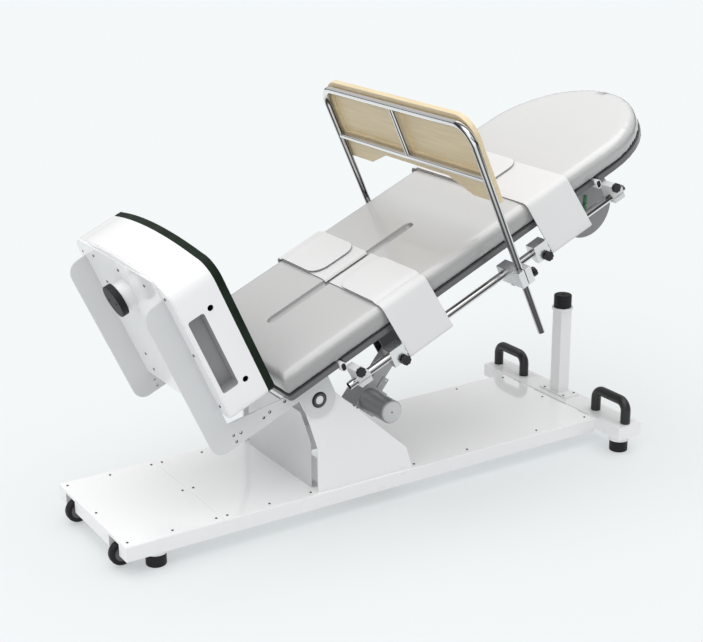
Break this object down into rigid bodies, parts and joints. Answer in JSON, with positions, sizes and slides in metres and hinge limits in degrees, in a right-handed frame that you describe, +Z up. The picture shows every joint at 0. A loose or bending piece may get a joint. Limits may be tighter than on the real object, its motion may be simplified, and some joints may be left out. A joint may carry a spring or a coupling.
{
  "type": "physiotherapy tilt table",
  "caption": "Padded bed on a pedestal that tilts from flat to upright by an electric actuator, with foot platform, straps and tray on side rails.",
  "frame": {"origin": "on the floor, under the middle of the table's length and width", "axes": "+X from the foot end to the head end, +Y to the far side, +Z up"},
  "size_m": [2.3916, 1.0524, 1.4834],
  "materials": {
    "white_powder_coat": "glossy white powder coat",
    "grey_metal": "grey enamel",
    "black_metal": "black powder coat",
    "chrome_tube": "polished chrome",
    "satin_alloy": "satin cast alloy",
    "steel_fastener": "plain steel",
    "black_rubber": "matt black rubber",
    "black_plastic": "moulded black plastic",
    "white_plastic": "moulded white plastic",
    "green_plastic": "green pointer",
    "black_board": "plywood with a black edge",
    "padding": "light grey vinyl over foam",
    "strap_vinyl": "light grey vinyl webbing",
    "tray_wood": "pale beech veneer",
    "foot_rubber": "dark green ribbed rubber"
  },
  "bodies": {
    "base": {"base_frame": "white_powder_coat", "foot_deck_plate": "white_powder_coat", "main_deck_plate": "white_powder_coat", "deck_screws": "steel_fastener", "wheel_axles": "steel_fastener", "cross_beam": "white_powder_coat", "foot_collars": "white_powder_coat", "rubber_feet": "black_rubber", "lift_handles": "black_metal", "support_post": "white_powder_coat", "post_buffer": "black_rubber", "pedestal_plates": "white_powder_coat", "pedestal_front_panel": "white_powder_coat", "screw_clevis": "white_powder_coat", "pivot_tube": "steel_fastener", "pivot_caps": "white_plastic"},
    "near_wheel": {"near_wheel": "black_rubber"},
    "far_wheel": {"far_wheel": "black_rubber"},
    "bed": {"bed_frame": "white_powder_coat", "pivot_ears": "white_powder_coat", "pivot_bushes": "black_plastic", "mattress_board": "black_board", "mattress": "padding", "side_rails": "chrome_tube", "rail_tubes": "white_powder_coat", "tube_plugs": "black_plastic", "rail_brackets": "white_powder_coat", "actuator_bracket": "black_metal", "foot_arms": "white_powder_coat", "foot_carrier": "white_powder_coat", "foot_casing": "white_plastic", "foot_mat": "foot_rubber", "stop_buffer": "black_rubber", "foot_screws": "steel_fastener", "angle_dial": "grey_metal"},
    "dial_pointer": {"dial_pointer": "green_plastic"},
    "actuator": {"actuator_housing": "satin_alloy", "actuator_motor": "grey_metal", "actuator_pin": "steel_fastener"},
    "actuator_screw": {"actuator_screw": "chrome_tube"},
    "near_knee_support": {"near_knee_strap": "strap_vinyl", "near_knee_clamp": "satin_alloy"},
    "far_knee_support": {"far_knee_strap": "strap_vinyl", "far_knee_clamp": "satin_alloy"},
    "chest_support": {"chest_strap": "strap_vinyl", "chest_clamps": "satin_alloy"},
    "tray_carriage": {"tray_clamps": "satin_alloy"},
    "tray": {"tray_frame": "chrome_tube", "tray_board": "tray_wood"},
    "near_knee_knob": {"near_knee_knob": "black_plastic"},
    "near_chest_knob": {"near_chest_knob": "black_plastic"},
    "near_tray_rail_knob": {"near_tray_rail_knob": "black_plastic"},
    "near_tray_leg_knob": {"near_tray_leg_knob": "black_plastic"},
    "near_foot_knob": {"near_foot_knob": "black_plastic"},
    "near_head_knob": {"near_head_knob": "black_plastic"},
    "far_knee_knob": {"far_knee_knob": "black_plastic"},
    "far_chest_knob": {"far_chest_knob": "black_plastic"},
    "far_tray_rail_knob": {"far_tray_rail_knob": "black_plastic"},
    "far_tray_leg_knob": {"far_tray_leg_knob": "black_plastic"},
    "far_foot_knob": {"far_foot_knob": "black_plastic"},
    "far_head_knob": {"far_head_knob": "black_plastic"}
  },
  "joints": [
    {"name": "bed_tilt", "type": "hinge", "parent": "base", "child": "bed", "pos_m": [-0.40667, 0, 0.492], "axis": [0, -1, 0], "range_deg": [-23.8, 61.2]},
    {"name": "near_wheel_roll", "type": "hinge", "parent": "base", "child": "near_wheel", "pos_m": [-1.14667, -0.197, 0.054], "axis": [0, 1, 0], "continuous": true},
    {"name": "far_wheel_roll", "type": "hinge", "parent": "base", "child": "far_wheel", "pos_m": [-1.14667, 0.197, 0.054], "axis": [0, 1, 0], "continuous": true},
    {"name": "pointer_swing", "type": "hinge", "parent": "bed", "child": "dial_pointer", "pos_m": [0.83579, 0, 1.02032], "axis": [0, -1, 0], "range_deg": [-61.3, 23.9]},
    {"name": "actuator_swing", "type": "hinge", "parent": "bed", "child": "actuator", "pos_m": [0.09569, 0, 0.48021], "axis": [0, -1, 0], "range_deg": [-23, 9]},
    {"name": "screw_travel", "type": "slide", "parent": "actuator", "child": "actuator_screw", "axis": [-0.6368, 0, -0.771], "range_m": [-0.1445, 0.3695]},
    {"name": "near_knee_slide", "type": "slide", "parent": "bed", "child": "near_knee_support", "axis": [0.915, 0, 0.4035], "range_m": [-0.09, 0.12]},
    {"name": "far_knee_slide", "type": "slide", "parent": "bed", "child": "far_knee_support", "axis": [0.915, 0, 0.4035], "range_m": [-0.09, 0.12]},
    {"name": "chest_slide", "type": "slide", "parent": "bed", "child": "chest_support", "axis": [0.915, 0, 0.4035], "range_m": [-0.03, 0.09]},
    {"name": "tray_travel", "type": "slide", "parent": "bed", "child": "tray_carriage", "axis": [0.915, 0, 0.4035], "range_m": [-0.14, 0.03]},
    {"name": "tray_height", "type": "slide", "parent": "tray_carriage", "child": "tray", "axis": [-0.4035, 0, 0.915], "range_m": [-0.1, 0.2]},
    {"name": "near_knee_knob_turn", "type": "hinge", "parent": "near_knee_support", "child": "near_knee_knob", "pos_m": [-0.13014, -0.434, 0.62926], "axis": [0, -1, 0], "range_deg": [-180, 180]},
    {"name": "near_chest_knob_turn", "type": "hinge", "parent": "chest_support", "child": "near_chest_knob", "pos_m": [0.50575, -0.434, 0.90973], "axis": [0, -1, 0], "range_deg": [-180, 180]},
    {"name": "near_tray_rail_knob_turn", "type": "hinge", "parent": "tray_carriage", "child": "near_tray_rail_knob", "pos_m": [0.35848, -0.431, 0.84368], "axis": [0.4035, 0, -0.915], "range_deg": [-180, 180]},
    {"name": "near_tray_leg_knob_turn", "type": "hinge", "parent": "tray_carriage", "child": "near_tray_leg_knob", "pos_m": [0.37291, -0.5085, 0.88283], "axis": [0.915, 0, 0.4035], "range_deg": [-180, 180]},
    {"name": "near_foot_knob_turn", "type": "hinge", "parent": "bed", "child": "near_foot_knob", "pos_m": [-0.3204, -0.435, 0.6235], "axis": [0, -1, 0], "range_deg": [-180, 180]},
    {"name": "near_head_knob_turn", "type": "hinge", "parent": "bed", "child": "near_head_knob", "pos_m": [0.81964, -0.435, 1.12631], "axis": [0, -1, 0], "range_deg": [-180, 180]},
    {"name": "far_knee_knob_turn", "type": "hinge", "parent": "far_knee_support", "child": "far_knee_knob", "pos_m": [-0.13014, 0.434, 0.62926], "axis": [0, 1, 0], "range_deg": [-180, 180]},
    {"name": "far_chest_knob_turn", "type": "hinge", "parent": "chest_support", "child": "far_chest_knob", "pos_m": [0.50575, 0.434, 0.90973], "axis": [0, 1, 0], "range_deg": [-180, 180]},
    {"name": "far_tray_rail_knob_turn", "type": "hinge", "parent": "tray_carriage", "child": "far_tray_rail_knob", "pos_m": [0.35848, 0.431, 0.84368], "axis": [0.4035, 0, -0.915], "range_deg": [-180, 180]},
    {"name": "far_tray_leg_knob_turn", "type": "hinge", "parent": "tray_carriage", "child": "far_tray_leg_knob", "pos_m": [0.37291, 0.5085, 0.88283], "axis": [0.915, 0, 0.4035], "range_deg": [-180, 180]},
    {"name": "far_foot_knob_turn", "type": "hinge", "parent": "bed", "child": "far_foot_knob", "pos_m": [-0.3204, 0.435, 0.6235], "axis": [0, 1, 0], "range_deg": [-180, 180]},
    {"name": "far_head_knob_turn", "type": "hinge", "parent": "bed", "child": "far_head_knob", "pos_m": [0.81964, 0.435, 1.12631], "axis": [0, 1, 0], "range_deg": [-180, 180]}
  ],
  "couplings": [
    {"joint": "pointer_swing", "follows": "bed_tilt", "ratio": -1},
    {"joint": "actuator_swing", "follows": "bed_tilt", "ratio": -0.374},
    {"joint": "screw_travel", "follows": "bed_tilt", "m_per_rad": 0.345}
  ]
}
